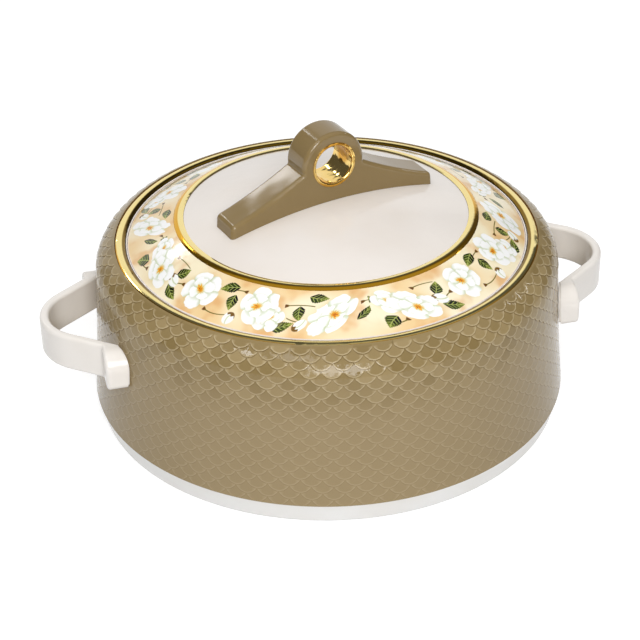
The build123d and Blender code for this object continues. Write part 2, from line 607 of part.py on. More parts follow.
def make_lid_screws():
    seat = lid_screw_seat() - SEAT_GAP - WASHER_THICKNESS
    tip = dome_height(LID_SCREW_SPACING, 0) + LID_SCREW_GRIP
    screw = rod(LID_SCREW_RADIUS, seat, tip) + rod(LID_SCREW_HEAD_RADIUS, seat - LID_SCREW_HEAD, seat)
    screw = fillet(screw.edges().sort_by(Axis.Z)[0], SCREW_HEAD_ROUND)
    return Compound(children=[place * screw for place in lid_screw_places()])


def make_lid_washers():
    top = lid_screw_seat() - SEAT_GAP
    washer = rod(LID_WASHER_RADIUS, top - WASHER_THICKNESS, top)
    washer -= rod(LID_SCREW_RADIUS + SCREW_GAP, top - 2 * WASHER_THICKNESS, top + WASHER_THICKNESS)
    return Compound(children=[place * washer for place in lid_screw_places()])


def eye_cylinder(radius, depth):
    """Cylinder across the bar, through the ring's middle."""
    return Pos(0, 0, EYE_CENTRE) * Rot(90, 0, 0) * Cylinder(radius, depth)


def lid_handle_face():
    """Front outline of the lid's handle: the bar, ending below the dome, and its ring."""
    end_under = dome_height(BAR_HALF_LENGTH, 0)
    end_top = end_under + BAR_END_HEIGHT
    root_top = DOME_TOP + BAR_TOP_AT_RING
    root = sqrt(EYE_RADIUS ** 2 - (root_top - EYE_CENTRE) ** 2) - SEAT_GAP
    tip = BAR_HALF_LENGTH - BAR_END_SLANT
    middle = ((tip + root) / 2, (end_top + root_top) / 2 - BAR_TOP_HOLLOW)
    floor = end_under - BAR_END_HEIGHT
    edges = [Line((-root, root_top), (root, root_top))]
    edges.append(Line((-BAR_HALF_LENGTH, floor), (BAR_HALF_LENGTH, floor)))
    for side in (-1, 1):
        top = ThreePointArc((side * root, root_top), (side * middle[0], middle[1]), (side * tip, end_top))
        edges += [top, Line(top @ 1, (side * BAR_HALF_LENGTH, floor))]
    face = make_face(edges) + Pos(0, EYE_CENTRE) * Circle(EYE_RADIUS)
    for side in (-1, 1):
        corner = face.vertices().sort_by_distance((side * tip, end_top, 0))[0]
        face = fillet(corner, BAR_CORNER_ROUND)
        crease = face.vertices().sort_by_distance((side * root, root_top, 0))[0]
        face = fillet(crease, BAR_CREASE_ROUND)
    return face


def make_lid_handle():
    blank = extrude(Plane.XZ * lid_handle_face(), BAR_WIDTH / 2, both=True)
    floor = blank.bounding_box().min.Z
    rims = [edge for edge in blank.edges() if abs(edge.center().Y) > BAR_WIDTH / 2 - PICK]
    rims = [edge for edge in rims if edge.center().Z > floor + PICK]
    handle = fillet(rims, BAR_EDGE_ROUND)
    handle -= eye_cylinder(EYE_HOLE, 2 * BAR_WIDTH)
    handle -= Pos(0, 0, DOME_Z) * Sphere(DOME_ROUND + SEAT_GAP)
    handle = Rot(0, 0, BAR_TURN) * handle
    tip_height = dome_height(LID_SCREW_SPACING, 0) + LID_SCREW_GRIP + SEAT_GAP
    for place in lid_screw_places():
        handle -= place * rod(LID_SCREW_RADIUS + SCREW_GAP, 0, tip_height)
    return handle


def make_handle_bush():
    outer = EYE_HOLE - SEAT_GAP
    lip_thickness = BUSH_PROUD - SEAT_GAP
    lip_middle = (BAR_WIDTH + SEAT_GAP + BUSH_PROUD) / 2
    bush = eye_cylinder(outer, BAR_WIDTH + 2 * BUSH_PROUD)
    for side in (-1, 1):
        bush += Pos(0, side * lip_middle, 0) * eye_cylinder(outer + BUSH_LIP, lip_thickness)
    bush -= eye_cylinder(outer - BUSH_WALL, 2 * BAR_WIDTH)
    bore_ends = bush.edges().filter_by(GeomType.CIRCLE).sort_by(SortBy.RADIUS)[:2]
    return Rot(0, 0, BAR_TURN) * fillet(bore_ends, BUSH_ROUND)


PARTS = {
    "outer_shell": make_outer_shell,
    "base_tray": make_base_tray,
    "base_screws": make_base_screws,
    "inner_bowl": make_inner_bowl,
    "body_insulation": make_body_insulation,
    "mouth_collar": make_mouth_collar,
    "mouth_ring": make_mouth_ring,
    "handle_screws": make_handle_screws,
    "handle_washers": make_handle_washers,
    "lid_shell": make_lid_shell,
    "print_ring": make_print_ring,
    "inner_ring": make_inner_ring,
    "centre_disc": make_centre_disc,
    "lid_liner": make_lid_liner,
    "lid_insulation": make_lid_insulation,
    "lid_handle": make_lid_handle,
    "handle_bush": make_handle_bush,
    "lid_handle_screws": make_lid_screws,
    "lid_handle_washers": make_lid_washers,
}

os.makedirs("parts", exist_ok=True)
for name, make in PARTS.items():
    export_step(make(), "parts/" + name + ".step")
for name, turn in {"right_handle": 0, "left_handle": 180}.items():
    export_step(make_handle(turn), "parts/" + name + ".step")
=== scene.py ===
from math import acos, atan2, cos, hypot, pi, radians, sin, sqrt
from random import Random

import bpy
from mathutils import Matrix, Vector


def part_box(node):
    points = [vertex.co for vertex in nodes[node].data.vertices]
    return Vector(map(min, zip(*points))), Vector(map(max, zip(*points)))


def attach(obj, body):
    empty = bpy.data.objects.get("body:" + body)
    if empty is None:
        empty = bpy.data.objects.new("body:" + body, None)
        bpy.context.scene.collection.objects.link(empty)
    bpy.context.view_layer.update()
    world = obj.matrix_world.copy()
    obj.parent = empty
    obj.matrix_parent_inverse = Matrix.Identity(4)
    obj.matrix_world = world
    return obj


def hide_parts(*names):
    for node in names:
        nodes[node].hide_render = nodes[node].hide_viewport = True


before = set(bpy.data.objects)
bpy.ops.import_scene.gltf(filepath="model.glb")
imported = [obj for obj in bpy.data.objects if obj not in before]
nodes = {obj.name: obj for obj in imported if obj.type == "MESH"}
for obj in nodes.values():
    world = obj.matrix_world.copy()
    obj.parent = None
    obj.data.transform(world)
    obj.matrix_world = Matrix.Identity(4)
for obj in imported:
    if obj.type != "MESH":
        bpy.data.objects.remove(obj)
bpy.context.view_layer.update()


# Camera ---------------------------------------------------------------------------------
# A long lens looks down on the casserole, from a little to the left of its front. It stands
# 1.2 m away and is tilted sideways by one degree.
CAMERA_DISTANCE = 1.1989      # from the floor under the middle of the body
CAMERA_ROUND = radians(-13.333)
CAMERA_RISE = radians(34.015)
CAMERA_HEADING = radians(-13.052)
CAMERA_PITCH = radians(-32.084)
CAMERA_ROLL = radians(-1.037)
LENS_LENGTH = 103.07          # in millimetres

lens = bpy.data.cameras.new("camera")
lens.lens = LENS_LENGTH
camera = bpy.data.objects.new("camera", lens)
bpy.context.scene.collection.objects.link(camera)
camera_spot = CAMERA_DISTANCE * Vector((
    sin(CAMERA_ROUND) * cos(CAMERA_RISE), -cos(CAMERA_ROUND) * cos(CAMERA_RISE), sin(CAMERA_RISE)))
camera.matrix_world = (
    Matrix.Translation(camera_spot) @ Matrix.Rotation(CAMERA_HEADING, 4, "Z")
    @ Matrix.Rotation(pi / 2 + CAMERA_PITCH, 4, "X") @ Matrix.Rotation(CAMERA_ROLL, 4, "Z"))
bpy.context.scene.camera = camera
bpy.context.scene.view_settings.view_transform = "Standard"


# Floor ----------------------------------------------------------------------------------
# White seamless paper, laid flat and far out. It keeps a soft shadow under the casserole, and
# is otherwise as white as what lies behind it.
FLOOR_SIZE = 12.0
PAPER_WHITE = (0.62, 0.62, 0.62, 1.0)
PAPER_GLOW = 0.60             # added where it is seen or mirrored, so that the lit paper is white
MILLIMETRES = 1000.0          # in a metre


class Wire:
    """One output of a node. Sums written with it become Math nodes."""

    def __init__(self, finish, socket):
        self.finish = finish
        self.socket = socket

    def math(self, operation, *others):
        return self.finish.sum(operation, self, *others)

    def output(self, name):
        return Wire(self.finish, self.socket.node.outputs[name])

    def __add__(self, other):
        return self.finish.sum("ADD", self, other)

    def __radd__(self, other):
        return self.finish.sum("ADD", other, self)

    def __sub__(self, other):
        return self.finish.sum("SUBTRACT", self, other)

    def __rsub__(self, other):
        return self.finish.sum("SUBTRACT", other, self)

    def __mul__(self, other):
        return self.finish.sum("MULTIPLY", self, other)

    def __rmul__(self, other):
        return self.finish.sum("MULTIPLY", other, self)

    def __pow__(self, other):
        return self.finish.sum("POWER", self, other)


class Finish:
    """A material, or the world, while it is put together from nodes."""

    def __init__(self, name, shelf=bpy.data.materials):
        self.made = shelf.new(name)
        self.made.use_nodes = True
        self.tree = self.made.node_tree
        self.tree.nodes.clear()

    def node(self, kind, settings=None, sockets=None, out=0):
        """Adds a node: its type, its settings, then the values or links of its sockets."""
        node = self.tree.nodes.new(kind)
        for name, value in (settings or {}).items():
            setattr(node, name, value)
        for key, value in (sockets or {}).items():
            if isinstance(value, Wire):
                self.tree.links.new(value.socket, node.inputs[key])
            else:
                node.inputs[key].default_value = value
        return Wire(self, node.outputs[out])

    def sum(self, operation, *terms):
        return self.node("ShaderNodeMath", {"operation": operation}, dict(enumerate(terms)))

    def vector(self, operation, *terms, out=0):
        return self.node("ShaderNodeVectorMath", {"operation": operation}, dict(enumerate(terms)), out)

    def blend(self, share, below, above):
        """A colour over another, by its share."""
        sockets = {0: share, 6: below, 7: above}
        return self.node("ShaderNodeMix", {"data_type": "RGBA"}, sockets, out=2)

    def ease(self, value, start, end):
        """0 before start and 1 after end, with a soft change between them."""
        sockets = {0: value, 1: start, 2: end}
        return self.node("ShaderNodeMapRange", {"interpolation_type": "SMOOTHSTEP"}, sockets)

    def place(self):
        """Where a point lies on the object, in millimetres."""
        sockets = {0: self.node("ShaderNodeTexCoord", out="Object"), "Scale": MILLIMETRES}
        return self.node("ShaderNodeVectorMath", {"operation": "SCALE"}, sockets)

    def noise(self, spot, grain, detail=2.0):
        """Cloudy variation between 0 and 1. The grain is the size of its patches in millimetres."""
        sockets = {"Vector": spot, "Scale": 1 / grain, "Detail": detail}
        return self.node("ShaderNodeTexNoise", {}, sockets)

    def bump(self, height, distance):
        """A face roughened by a height between 0 and 1, which stands for a distance in metres."""
        sockets = {"Height": height, "Distance": distance, "Strength": 1.0}
        return self.node("ShaderNodeBump", {}, sockets, out="Normal")

    def seen(self):
        """1 for what the camera sees straight, in a mirror or through glass, and 0 for soft light."""
        path = self.node("ShaderNodeLightPath", out="Is Camera Ray")
        sharp = path + path.output("Is Transmission Ray")
        return sharp.math("MAXIMUM", path.output("Is Glossy Ray")).math("MINIMUM", 1.0)

    def finished(self, shader, end="ShaderNodeOutputMaterial"):
        last = self.tree.nodes.new(end)
        self.tree.links.new(shader.socket, last.inputs["Surface"])
        return self.made


def paint(red, green, blue):
    """A colour from a 0 to 255 chart, as the linear values that the shaders mix."""
    chart = [part / 255 for part in (red, green, blue)]
    return tuple(((part + 0.055) / 1.055) ** 2.4 for part in chart) + (1.0,)


def make_paper():
    finish = Finish("seamless_paper")
    paper = finish.node("ShaderNodeBsdfDiffuse", {}, {"Color": PAPER_WHITE})
    glow = finish.node("ShaderNodeEmission", {}, {"Strength": finish.seen() * PAPER_GLOW})
    return finish.finished(finish.node("ShaderNodeAddShader", {}, {0: paper, 1: glow}))


bpy.ops.object.select_all(action="DESELECT")
bpy.ops.mesh.primitive_plane_add(size=FLOOR_SIZE)
floor = bpy.context.object
floor.name = "floor"
floor.data.materials.append(make_paper())


# Studio light ---------------------------------------------------------------------------
# A white wall stands behind the table, the ceiling is dim and the sides are unlit. One lamp is
# behind on the left, a large soft one by the camera, one over the front, and a small one on
# either side.
ROOM_LOW = 0.12               # soft light that reaches dull surfaces from low down
ROOM_HIGH = 1.00              # and from overhead
ROOM_DARK = 0.10              # what a mirror shows of the unlit sides, where 1 is white
CEILING = 0.48                # and of the ceiling
# The next are parts of a direction from the casserole, whose length is 1.
SOFT_RISE = (0.45, 0.95)      # heights between which the soft light grows
WALL_SHIFT = 0.06             # the white wall's middle is this far to the right
WALL_DEPTH = (0.70, 0.80)     # how far back the white wall fades in
WALL_REACH = (0.50, 0.68)     # how far aside it fades out
CEILING_RISE = (0.45, 0.75)   # how high up the ceiling fades in
CEILING_BACK = (0.25, 0.50)   # how far back it fades out
LAMPS = (
    # name, place, size, watts
    ("window_lamp", (-0.80, 1.74, 1.44), 0.26, 2.3),
    ("camera_lamp", (-0.25, -1.83, 1.12), 0.90, 25.5),
    ("front_lamp", (-0.62, -0.76, 1.98), 0.50, 3.4),
    ("left_lamp", (-1.03, -0.37, 1.90), 0.16, 1.2),
    ("right_lamp", (1.78, 0.41, 1.22), 0.16, 1.0),
)


def make_room():
    finish = Finish("room", bpy.data.worlds)
    direction = finish.node("ShaderNodeTexCoord", out="Generated")
    towards = finish.node("ShaderNodeSeparateXYZ", {}, {0: direction})
    aside = (towards - WALL_SHIFT).math("ABSOLUTE")
    back = towards.output("Y")
    high = towards.output("Z")
    soft = finish.ease(high, *SOFT_RISE) * (ROOM_HIGH - ROOM_LOW) + ROOM_LOW
    wall = finish.ease(back, *WALL_DEPTH) * (1 - finish.ease(aside, *WALL_REACH))
    ceiling = finish.ease(high, *CEILING_RISE) * (1 - finish.ease(back, *CEILING_BACK))
    mirrored = wall.math("MAXIMUM", ceiling * (CEILING - ROOM_DARK) + ROOM_DARK)
    path = finish.node("ShaderNodeLightPath", out="Is Camera Ray")
    sharp = path.output("Is Glossy Ray").math("MAXIMUM", path.output("Is Transmission Ray"))
    level = sharp * (mirrored - soft) + soft
    light = finish.node("ShaderNodeBackground", {}, {
        "Color": (1.0, 1.0, 1.0, 1.0), "Strength": level.math("MAXIMUM", path)})
    return finish.finished(light, "ShaderNodeOutputWorld")


bpy.context.scene.world = make_room()

for lamp_name, lamp_place, lamp_size, lamp_watts in LAMPS:
    lamp_data = bpy.data.lights.new(lamp_name, "AREA")
    lamp_data.size = lamp_size
    lamp_data.energy = lamp_watts
    lamp = bpy.data.objects.new(lamp_name, lamp_data)
    bpy.context.scene.collection.objects.link(lamp)
    aim = Vector(lamp_place).to_track_quat("Z", "Y")
    lamp.matrix_world = Matrix.Translation(lamp_place) @ aim.to_matrix().to_4x4()


# Base tray ------------------------------------------------------------------------------
# The floor of the casserole, moulded in glossy off-white plastic. Its band shows under the
# shell, and four screws from below hold it to the shell's posts.
MOTTLE = (0.965, 0.95, 0.93)  # shares of red, green and blue that its duller patches keep


def moulded_white(name, colour, gloss):
    """Off-white moulded plastic: faintly mottled, with the soft ripple of a moulded face."""
    finish = Finish(name)
    spot = finish.place()
    clouds = finish.noise(spot, 45.0)
    ripple = finish.noise(spot, 6.0)
    grain = finish.noise(spot, 0.35, 1.0)
    tinted = tuple(part * shade for part, shade in zip(colour, MOTTLE)) + (1.0,)
    body = finish.blend(finish.ease(clouds, 0.35, 0.75), colour, tinted)
    height = ripple + grain * 0.03
    plastic = finish.node("ShaderNodeBsdfPrincipled", {}, {
        "Base Color": body, "Roughness": clouds * 0.08 + gloss, "IOR": 1.5,
        "Normal": finish.bump(height, 0.00012)})
    return finish.finished(plastic)


def dress(material, *names):
    """Gives a finish to nodes that keep their shape."""
    for name in names:
        for slot in nodes[name].material_slots:
            slot.material = material


dress(moulded_white("base_white", paint(245, 244, 242), 0.20), "base_tray")


# Screws and washers ---------------------------------------------------------------------
# Zinc-plated steel, bought in. Four screws hold the base, four with washers the side handles,
# and two with washers the lid's handle.
def zinc_plate():
    finish = Finish("zinc_plate")
    spot = finish.place()
    spangle = finish.node("ShaderNodeTexVoronoi", {}, {"Vector": spot, "Scale": 0.9}, out="Color")
    dull = finish.noise(spot, 1.5)
    shade = finish.blend(dull, paint(150, 152, 156), paint(190, 192, 197))
    tint = finish.blend(0.12, shade, spangle)
    metal = finish.node("ShaderNodeBsdfPrincipled", {}, {
        "Base Color": tint, "Metallic": 1.0, "Roughness": dull * 0.25 + 0.25})
    return finish.finished(metal)


dress(
    zinc_plate(), "base_screws", "handle_screws", "handle_washers", "lid_handle_screws",
    "lid_handle_washers")


# Outer shell ----------------------------------------------------------------------------
# One taupe moulding with a fish-scale relief from its mouth to its bottom edge. Each scale
# is a shallow shingle with a raised round lip, and the relief is shallower on the wall,
# where the mould has to slide off. Posts inside take the base screws.
SCALES_ROUND = 72
SCALE_ROWS = 23
SCALE_STEPS = 8               # mesh steps across one scale
SHOULDER_SETBACK = 0.0056     # how far the wall has come in where the shoulder begins
SHOULDER_ROUND = 0.020
WALL_HEIGHT = 0.0819
WALL_HOLLOW = 0.0007
SHELL_WALL = 0.0022
PLAIN_RIM = 0.0020            # smooth band round the mouth
RING_CLEARANCE = 0.0001       # between the gold ring and the shell's edge
SHOULDER_RELIEF = 0.00085     # depth of a scale's root on the shoulder
WALL_RELIEF = 0.00020         # and on the wall
TONE_START = 0.034            # the wall's colour changes from this far below the shoulder
TONE_END = 0.004              # to this far above where it begins
LIP_WIDTH = 0.0010
LIP_RISE = 0.00012
ROOT_WIDTH = 0.0008           # shaded line under a lip
CREST_PLACE = 0.35 * LIP_WIDTH
CREST_REACH = 0.6 * LIP_WIDTH  # from the crest of a lip to either foot of it
DISH_SHARE = 0.25             # hollow of a scale's face, as a share of the relief
DISH_REACH = 0.004            # from the lip to where the hollow is full
RELIEF_FADE = (0.018, 0.060)  # runs between which the relief drops to the wall's
MOUTH_FADE = 0.003            # length over which the relief begins under the plain rim
FOOT_FADE = 0.002             # and over which it ends at the shell's bottom edge
SCALE_SEED = 7
SCALE_SWAY = radians(1.6)     # how far a scale may be turned from its neighbours
SCALE_EDGE = (0.42, 0.5)      # where a scale's own turn and tone fade, in shares of its width
SWAY_BELOW = 0.004            # the scales nearer to the shell's top than this aren't turned
SHARP_EDGE = radians(38)      # a fold is rounded by shading up to this angle
MERGE_GAP = 0.00001           # points nearer to one another than this become one
POST_RADIUS = 0.005
POST_CIRCLE = 0.133           # the posts stand this far from the middle
POST_BORE = 0.0018            # for the base screws
POST_CAP = 0.0022             # closed end of each post
POST_FOOT = 0.0202
POST_TOP = 0.0441
POST_RIB = 0.0026
POST_SIDES = 40
RIB_START = 0.9               # in shares of the post's radius, so that the rib runs into it

shell_low, shell_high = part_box("outer_shell")
BASE_RADIUS = shell_high.x
shoulder_radius = BASE_RADIUS - SHOULDER_SETBACK
shoulder_start = shell_low.z + WALL_HEIGHT
wall_length = hypot(SHOULDER_SETBACK, WALL_HEIGHT)
wall_lean = atan2(SHOULDER_SETBACK, WALL_HEIGHT)
shoulder_r = shoulder_radius - SHOULDER_ROUND * cos(wall_lean)
shoulder_z = shoulder_start - SHOULDER_ROUND * sin(wall_lean)
mouth_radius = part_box("mouth_ring")[1].x + RING_CLEARANCE
mouth_angle = acos((mouth_radius - shoulder_r) / SHOULDER_ROUND)
shoulder_length = SHOULDER_ROUND * (mouth_angle - wall_lean)
profile_length = shoulder_length + wall_length
scale_pitch = (profile_length - PLAIN_RIM) / SCALE_ROWS


def shell_profile(run, depth):
    """Radius and height, at a run from the mouth, of the shell's face or of a depth in it."""
    if run < shoulder_length:
        angle = mouth_angle - run / SHOULDER_ROUND
        reach = SHOULDER_ROUND - depth
        return shoulder_r + reach * cos(angle), shoulder_z + reach * sin(angle)
    share = 1 - (run - shoulder_length) / wall_length
    bow = 4 * WALL_HOLLOW * share * (1 - share)
    radius = BASE_RADIUS - SHOULDER_SETBACK * share - bow
    return radius - depth * cos(wall_lean), shell_low.z + WALL_HEIGHT * share - depth * sin(wall_lean)


def smooth(value, start, end):
    share = min(max((value - start) / (end - start), 0.0), 1.0)
    return share * share * (3 - 2 * share)


def relief_depth(run):
    """Depth of a scale's root at a run from the mouth, fading out at both ends of the shell."""
    full = SHOULDER_RELIEF + (WALL_RELIEF - SHOULDER_RELIEF) * smooth(run, *RELIEF_FADE)
    begun = smooth(run, PLAIN_RIM, PLAIN_RIM + MOUTH_FADE)
    return full * begun * smooth(profile_length - run, 0.0, FOOT_FADE)


def row_start(row):
    """Run at which a row of scales begins."""
    return PLAIN_RIM + row * scale_pitch


def scale_arc(row, across):
    """Radius and middle of a scale's round lip, and how far aside of the middle a place lies."""
    half_width = pi * shell_profile(row_start(row), 0)[0] / SCALES_ROUND
    offset = abs(across) if row % 2 == 0 else 1 - abs(across)
    round_radius = (half_width ** 2 + scale_pitch ** 2) / (2 * scale_pitch)
    middle = row_start(row) + scale_pitch - round_radius
    return round_radius, middle, offset * half_width


def scale_line(row, across, inwards):
    """Run of a line parallel to the lip of a row of scales, at a place across the strip."""
    if row < 0:
        return PLAIN_RIM
    if row == SCALE_ROWS:
        return profile_length - inwards
    round_radius, middle, aside = scale_arc(row, across)
    room = (round_radius - inwards) ** 2 - aside ** 2
    return middle + sqrt(max(room, 0.0))


def scale_depth(row, across, run):
    """Depth of a scale's face below the shell's, and how near the place is to its lip."""
    relief = relief_depth(run)
    round_radius, middle, aside = scale_arc(row, across)
    from_lip = round_radius - hypot(aside, max(run - middle, 0.0))
    lip = 1 - smooth(abs(from_lip - CREST_PLACE), 0.0, CREST_REACH)
    tilt = relief / 2 * (1 - (run - row_start(row)) / scale_pitch)
    fade = min(relief / WALL_RELIEF, 1.0)
    dish = DISH_SHARE * relief * smooth(from_lip, 0.0, DISH_REACH)
    return max(tilt + fade * LIP_RISE * (1 - lip) - dish, 0.0), lip * fade


def shell_strip():
    """One scale's width of the shell, from the mouth down outside and back up inside."""
    row_levels = 6
    inner_runs = [1.0, 0.75, 0.5, 0.3, 0.2, 0.13, 0.07, 0.0, 0.0]
    outer_levels = 1 + (SCALE_ROWS + 1) * row_levels
    levels = outer_levels + len(inner_runs)
    bpy.ops.object.select_all(action="DESELECT")
    bpy.ops.mesh.primitive_grid_add(x_subdivisions=SCALE_STEPS, y_subdivisions=levels - 1, size=1)
    strip = bpy.context.object
    # The lip mark is 1 on a lip's crest, where a painted highlight goes, and below 0 at a root, where
    # painted shade goes.
    lip_mark = strip.data.attributes.new("lip", "FLOAT", "POINT")
    row_mark = strip.data.attributes.new("row", "FLOAT", "POINT")
    for index, vertex in enumerate(strip.data.vertices):
        column = round((vertex.co.x + 0.5) * SCALE_STEPS)
        level = round((0.5 - vertex.co.y) * (levels - 1))
        half_step = 2 * column / SCALE_STEPS - 1
        across = (1 - cos(pi * abs(half_step))) / 2 * (1 if half_step > 0 else -1)
        lip = 0.0
        row = -1
        if level == 0:
            radius, height = shell_profile(0.0, 0.0)
        elif level < outer_levels:
            row, step = divmod(level - 1, row_levels)
            top = scale_line(row - 1, across, 0.0)
            bottom = scale_line(row, across, 0.0)
            root_end = min(top + ROOT_WIDTH, bottom)
            inner_lip = max(scale_line(row, across, LIP_WIDTH), root_end)
            crest = max(scale_line(row, across, CREST_PLACE), root_end)
            run = (top, root_end, (root_end + inner_lip) / 2, inner_lip, crest, bottom)[step]
            depth, lip = scale_depth(row, across, run)
            # a root just under the lip above is marked for painted shade
            if step == 0 and row > 0:
                lip = -smooth(bottom - top, 0.0, 2 * ROOT_WIDTH)
            radius, height = shell_profile(run, depth)
        else:
            share = inner_runs[level - outer_levels]
            radius, height = shell_profile(share * profile_length, SHELL_WALL)
            if level == outer_levels:
                radius, height = BASE_RADIUS - SHELL_WALL / cos(wall_lean), shell_low.z
            if level >= levels - 2:
                radius = mouth_radius
            if level == levels - 1:
                radius, height = shell_profile(0.0, 0.0)
        angle = across * pi / SCALES_ROUND
        vertex.co = (radius * cos(angle), radius * sin(angle), height)
        lip_mark.data[index].value = lip
        row_mark.data[index].value = row
    return strip


def vary_scales(shell):
    """Turns each scale a little its own way, and notes a tone for each, as hand-cut moulds do."""
    draw = Random(SCALE_SEED)
    tones = {}
    sways = {}
    for row in range(SCALE_ROWS + 1):
        for column in range(SCALES_ROUND):
            tones[row, column] = draw.random()
            sways[row, column] = draw.uniform(-SCALE_SWAY, SCALE_SWAY)
    rows = shell.data.attributes["row"].data
    tone_mark = shell.data.attributes.new("tone", "FLOAT", "POINT")
    for index, vertex in enumerate(shell.data.vertices):
        row = round(rows[index].value)
        tone_mark.data[index].value = 0.5
        if row < 0:
            continue
        turn = atan2(vertex.co.y, vertex.co.x) * SCALES_ROUND / (2 * pi) - (row % 2) / 2
        column = round(turn)
        aside = turn - column
        inside = 1 - smooth(abs(aside), *SCALE_EDGE)
        tone_mark.data[index].value = 0.5 + (tones[row, column % SCALES_ROUND] - 0.5) * inside
        run_share = smooth(vertex.co.z, shell_low.z + FOOT_FADE, shoulder_start)
        radius = hypot(vertex.co.x, vertex.co.y)
        width = 2 * pi * radius / SCALES_ROUND
        sway = sways[row, column % SCALES_ROUND]
        sink = abs(sway) * width * inside * run_share
        lean = sway * aside * width * inside * run_share
        if vertex.co.z < shell_high.z - SWAY_BELOW:
            shrink = 1 + (lean - sink / 2) / radius
            vertex.co.x *= shrink
            vertex.co.y *= shrink


def make_post(turn):
    """Post for a base screw, bored from below, with its rib to the wall."""
    length = POST_TOP - POST_FOOT
    middle = (POST_TOP + POST_FOOT) / 2
    bpy.ops.object.select_all(action="DESELECT")
    bpy.ops.mesh.primitive_cylinder_add(
        vertices=POST_SIDES, radius=POST_RADIUS, depth=length,
        location=(POST_CIRCLE * cos(turn), POST_CIRCLE * sin(turn), middle))
    post = bpy.context.object
    bpy.ops.object.transform_apply(location=True)
    bpy.ops.object.mode_set(mode="EDIT")
    bpy.ops.mesh.select_mode(type="FACE")
    bpy.ops.mesh.select_all(action="DESELECT")
    bpy.ops.object.mode_set(mode="OBJECT")
    for face in post.data.polygons:
        face.select = face.normal.z < -0.9
    bpy.ops.object.mode_set(mode="EDIT")
    bpy.ops.mesh.inset(thickness=POST_RADIUS - POST_BORE)
    bpy.ops.mesh.extrude_region_move(TRANSFORM_OT_translate={"value": (0, 0, length - POST_CAP)})
    bpy.ops.object.mode_set(mode="OBJECT")
    bpy.ops.object.shade_smooth_by_angle(angle=SHARP_EDGE)
    wall_inside = shell_profile(profile_length - (middle - shell_low.z), SHELL_WALL / 2)[0]
    rib_start = POST_CIRCLE + POST_RADIUS * RIB_START
    rib_middle = (rib_start + wall_inside) / 2
    bpy.ops.mesh.primitive_cube_add(
        size=1, location=(rib_middle * cos(turn), rib_middle * sin(turn), middle), rotation=(0, 0, turn),
        scale=(wall_inside - rib_start, POST_RIB, length))
    bpy.ops.object.transform_apply(location=True, rotation=True, scale=True)
    rib = bpy.context.object
    rib.select_set(True)
    post.select_set(True)
    bpy.context.view_layer.objects.active = post
    bpy.ops.object.join()
    return post


def make_shell():
    shell = shell_strip()
    shell.name = "scaled_shell"
    bpy.ops.object.mode_set(mode="EDIT")
    bpy.ops.mesh.select_all(action="SELECT")
    bpy.ops.mesh.spin(
        steps=SCALES_ROUND - 1, dupli=True, angle=2 * pi * (SCALES_ROUND - 1) / SCALES_ROUND,
        center=(0, 0, 0), axis=(0, 0, 1))
    bpy.ops.mesh.select_all(action="SELECT")
    bpy.ops.mesh.remove_doubles(threshold=MERGE_GAP)
    bpy.ops.mesh.select_all(action="SELECT")
    bpy.ops.mesh.normals_make_consistent(inside=False)
    bpy.ops.object.mode_set(mode="OBJECT")
    vary_scales(shell)
    bpy.ops.object.shade_smooth_by_angle(angle=SHARP_EDGE)
    posts = [make_post(radians(45 + 90 * quarter)) for quarter in range(4)]
    bpy.ops.object.select_all(action="DESELECT")
    for post in posts:
        post.select_set(True)
    shell.select_set(True)
    bpy.context.view_layer.objects.active = shell
    bpy.ops.object.join()
    return shell


def taupe_scales():
    """Glossy taupe plastic: its scales differ in tone, with a painted highlight on each lip and a
    painted shade line under it.
    """
    finish = Finish("taupe_scales")
    spot = finish.place()
    height = finish.node("ShaderNodeSeparateXYZ", {}, {0: spot}).output("Z")
    tone_ends = (shoulder_start - TONE_START, shoulder_start + TONE_END)
    on_shoulder = finish.ease(height, *(end * MILLIMETRES for end in tone_ends))
    clouds = finish.noise(spot, 30.0)
    flecks = finish.noise(spot, 1.2)
    mark = finish.node("ShaderNodeAttribute", {"attribute_name": "lip"}, out="Fac")
    tone = finish.node("ShaderNodeAttribute", {"attribute_name": "tone"}, out="Fac")
    wall = finish.blend(clouds, paint(152, 133, 97), paint(158, 139, 104))
    shoulder = finish.blend(tone, paint(136, 116, 75), paint(159, 139, 99))
    body = finish.blend(on_shoulder, wall, shoulder)
    # strength of the painted highlight on the lips and the painted shade under them, stronger on the
    # shoulder
    painted_lip_light_and_shade = (flecks * 0.3 + 0.40) * (on_shoulder * 0.55 + 0.45)
    painted_lip_highlight = finish.blend(mark.math("MAXIMUM", 0.0) * painted_lip_light_and_shade, body, paint(208, 190, 154))
    painted_root_shade = finish.blend((0 - mark).math("MAXIMUM", 0.0) * painted_lip_light_and_shade, painted_lip_highlight, paint(98, 78, 44))
    plastic = finish.node("ShaderNodeBsdfPrincipled", {}, {
        "Base Color": painted_root_shade, "Roughness": clouds * 0.04 + tone * 0.04 + 0.05, "IOR": 1.34,
        "Normal": finish.bump(finish.noise(spot, 3.0, 0.0), 0.000012)})
    return finish.finished(plastic)


scaled_shell = make_shell()
scaled_shell.data.materials.append(taupe_scales())
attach(scaled_shell, "body")
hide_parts("outer_shell")


